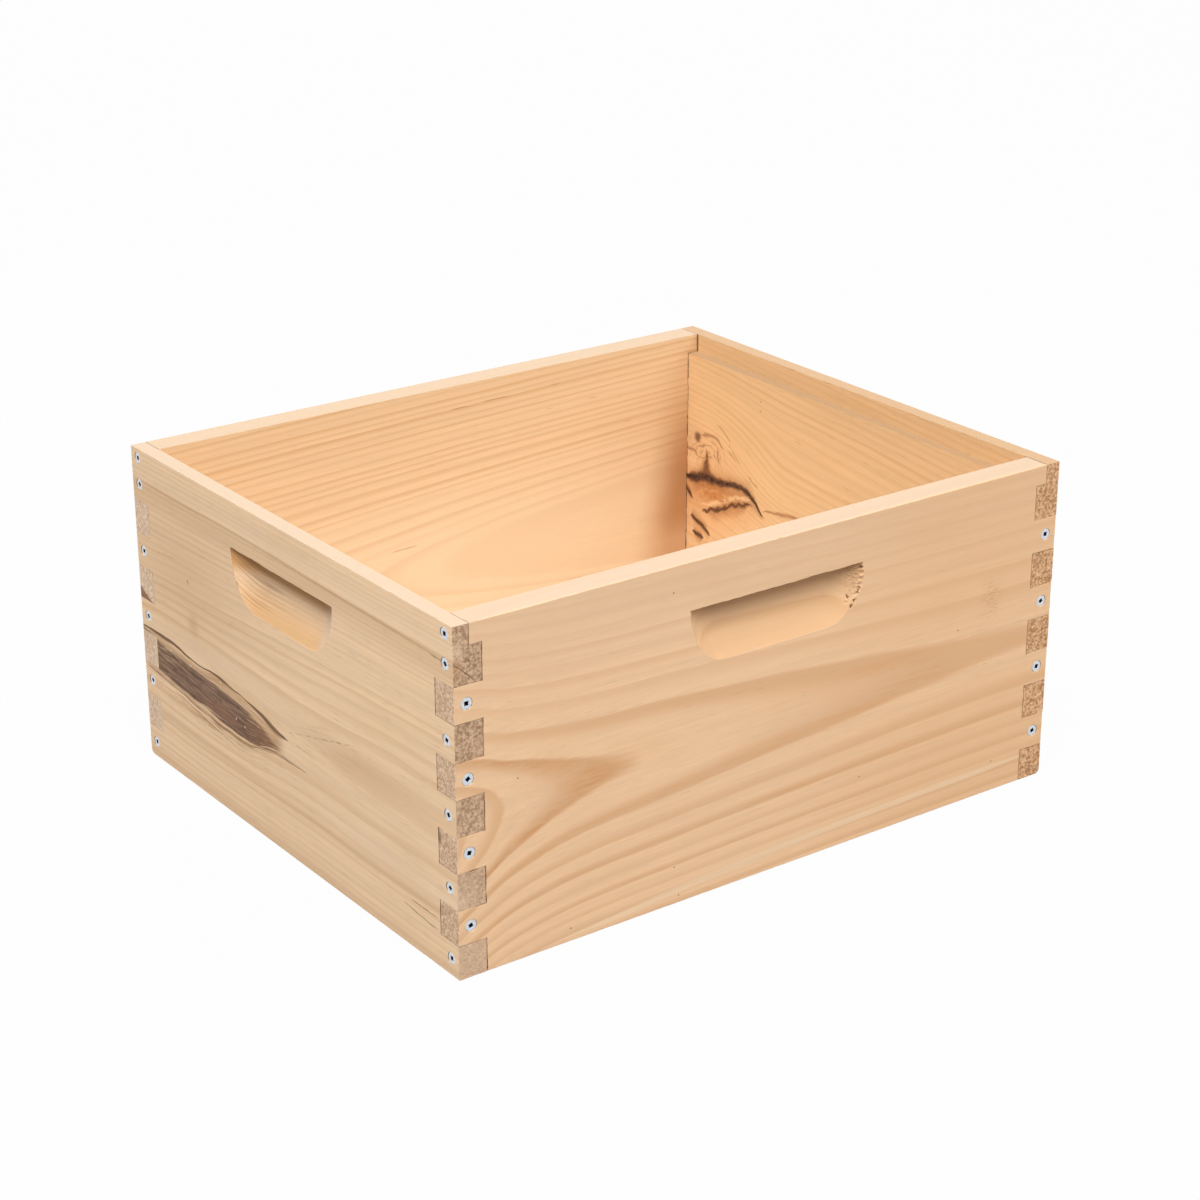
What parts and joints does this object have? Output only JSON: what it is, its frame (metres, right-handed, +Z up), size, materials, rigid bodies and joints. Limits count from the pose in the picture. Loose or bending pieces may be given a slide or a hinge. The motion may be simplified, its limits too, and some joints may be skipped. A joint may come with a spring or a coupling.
{
  "type": "hive body",
  "caption": "Open rectangular pine box for hanging comb frames, finger-jointed and screwed at the corners, with frame rests along the end boards and a scooped hand hold in each board.",
  "frame": {"origin": "middle of the box at its bottom rim", "axes": "+Z up through the open top, +X along the length from the front end board to the rear one, +Y across the width from the right side board to the left one"},
  "size_m": [0.5078, 0.4158, 0.2413],
  "materials": {
    "pine": "planed and bare, with open end grain on the finger tips",
    "zinc_screw": "bright zinc plate"
  },
  "bodies": {
    "root": {"front_end_board": "pine", "rear_end_board": "pine", "right_side_board": "pine", "left_side_board": "pine", "front_right_end_screws": "zinc_screw", "front_right_side_screws": "zinc_screw", "front_left_end_screws": "zinc_screw", "front_left_side_screws": "zinc_screw", "rear_right_end_screws": "zinc_screw", "rear_right_side_screws": "zinc_screw", "rear_left_end_screws": "zinc_screw", "rear_left_side_screws": "zinc_screw"}
  },
  "joints": []
}
